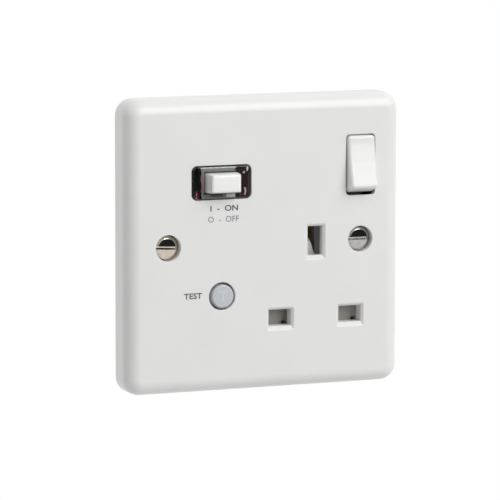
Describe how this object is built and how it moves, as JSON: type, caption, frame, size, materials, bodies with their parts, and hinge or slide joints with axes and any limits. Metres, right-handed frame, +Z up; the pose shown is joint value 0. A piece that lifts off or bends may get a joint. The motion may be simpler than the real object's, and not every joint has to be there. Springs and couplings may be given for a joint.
{
  "type": "residual current device socket",
  "caption": "Single-gang switched wall socket for a square-pin plug, with a residual current device worked by a reset button in a flag window and a round test button.",
  "frame": {"origin": "middle of the plate's back rim, on the wall's surface", "axes": "+Z up, +Y into the wall, +X to the right as seen from the front"},
  "size_m": [0.086, 0.038, 0.086],
  "materials": {
    "white_plastic": "moulded urea, satin gloss",
    "grey_button": "light grey moulding",
    "clear_window": "clear polycarbonate",
    "off_white_button": "moulded, semi-gloss",
    "flag_plastic": "two-colour flag",
    "plated_steel": "nickel-plated steel",
    "zinc_steel": "zinc-plated steel",
    "spring_steel": "drawn spring wire",
    "brass": "stamped brass",
    "copper_strip": "copper alloy with silver contacts",
    "grey_shutter": "grey thermoplastic",
    "grey_frame": "grey thermoplastic",
    "housing_plastic": "white thermoplastic",
    "black_plastic": "black thermoplastic",
    "board_laminate": "green glass-fibre laminate",
    "varistor_blue": "blue epoxy coat",
    "capacitor_yellow": "yellow plastic box",
    "resistor_body": "beige lacquer",
    "core_grey": "coated magnetic core",
    "copper_wire": "enamelled copper wire",
    "armature_steel": "turned mild steel"
  },
  "bodies": {
    "socket": {"front_plate": "white_plastic", "fixing_screws": "plated_steel", "assembly_screws": "zinc_steel", "window_lens": "clear_window", "reset_spring": "spring_steel", "test_spring": "spring_steel", "test_strip": "copper_strip", "test_pin": "brass", "live_feed_strap": "brass", "shutter_spring": "spring_steel", "inner_frame": "grey_frame", "rear_housing": "housing_plastic", "live_contact": "brass", "neutral_contact": "brass", "earth_contact": "brass", "live_terminal": "brass", "neutral_terminal": "brass", "earth_terminal": "brass", "terminal_screws": "zinc_steel", "earth_strap": "brass", "live_link": "copper_strip", "neutral_link": "copper_strip", "live_supply_contact": "copper_strip", "neutral_supply_contact": "copper_strip", "carrier_spring": "spring_steel", "toroid_core": "core_grey", "toroid_winding": "copper_wire", "circuit_board": "board_laminate", "varistor": "varistor_blue", "capacitor": "capacitor_yellow", "chip": "black_plastic", "resistors": "resistor_body", "diodes": "black_plastic", "solenoid_bobbin": "black_plastic", "solenoid_coil": "copper_wire", "latch_pin": "armature_steel"},
    "reset_button": {"reset_button": "off_white_button"},
    "indicator_flag": {"indicator_flag": "flag_plastic"},
    "contact_carrier": {"contact_carrier": "black_plastic", "live_moving_contact": "copper_strip", "neutral_moving_contact": "copper_strip"},
    "test_button": {"test_button": "grey_button"},
    "rocker": {"rocker": "white_plastic", "rocker_plunger": "black_plastic", "plunger_spring": "spring_steel"},
    "switch_bridge": {"switch_bridge": "copper_strip"},
    "shutter": {"shutter": "grey_shutter"},
    "solenoid_plunger": {"solenoid_plunger": "armature_steel"},
    "trip_latch": {"trip_latch": "grey_frame"}
  },
  "joints": [
    {"name": "reset_press", "type": "slide", "parent": "socket", "child": "reset_button", "axis": [0, 1, 0], "range_m": [0, 0.0026], "stiffness_N_per_m": 500, "springref_m": -0.001, "deforming": ["reset_spring"]},
    {"name": "flag_slide", "type": "slide", "parent": "socket", "child": "indicator_flag", "axis": [0, 0, 1], "range_m": [0, 0.006]},
    {"name": "carrier_slide", "type": "slide", "parent": "socket", "child": "contact_carrier", "axis": [0, 1, 0], "range_m": [0, 0.0026], "deforming": ["carrier_spring"]},
    {"name": "test_press", "type": "slide", "parent": "socket", "child": "test_button", "axis": [0, 1, 0], "range_m": [0, 0.0015], "stiffness_N_per_m": 400, "springref_m": -0.001, "deforming": ["test_spring"]},
    {"name": "rocker_tilt", "type": "hinge", "parent": "socket", "child": "rocker", "pos_m": [0.03015, -0.0066, 0.022], "axis": [1, 0, 0], "range_deg": [0, 20]},
    {"name": "bridge_tilt", "type": "hinge", "parent": "socket", "child": "switch_bridge", "pos_m": [0.029, 0.0025, 0.022], "axis": [1, 0, 0], "range_deg": [-16, 0]},
    {"name": "shutter_slide", "type": "slide", "parent": "socket", "child": "shutter", "axis": [0, 0, -1], "range_m": [0, 0.0054], "stiffness_N_per_m": 150, "springref_m": -0.005, "deforming": ["shutter_spring"]},
    {"name": "latch_turn", "type": "hinge", "parent": "socket", "child": "trip_latch", "pos_m": [-0.0256, 0.0057, 0.0234], "axis": [0, 1, 0], "range_deg": [0, 12]},
    {"name": "plunger_rise", "type": "slide", "parent": "socket", "child": "solenoid_plunger", "axis": [0, 0, 1], "range_m": [0, 0.0004]}
  ],
  "couplings": [
    {"joint": "flag_slide", "follows": "reset_press", "ratio": 2.3076},
    {"joint": "carrier_slide", "follows": "reset_press", "ratio": 1},
    {"joint": "bridge_tilt", "follows": "rocker_tilt", "ratio": -0.7999},
    {"joint": "latch_turn", "follows": "plunger_rise", "rad_per_m": 523.59}
  ]
}
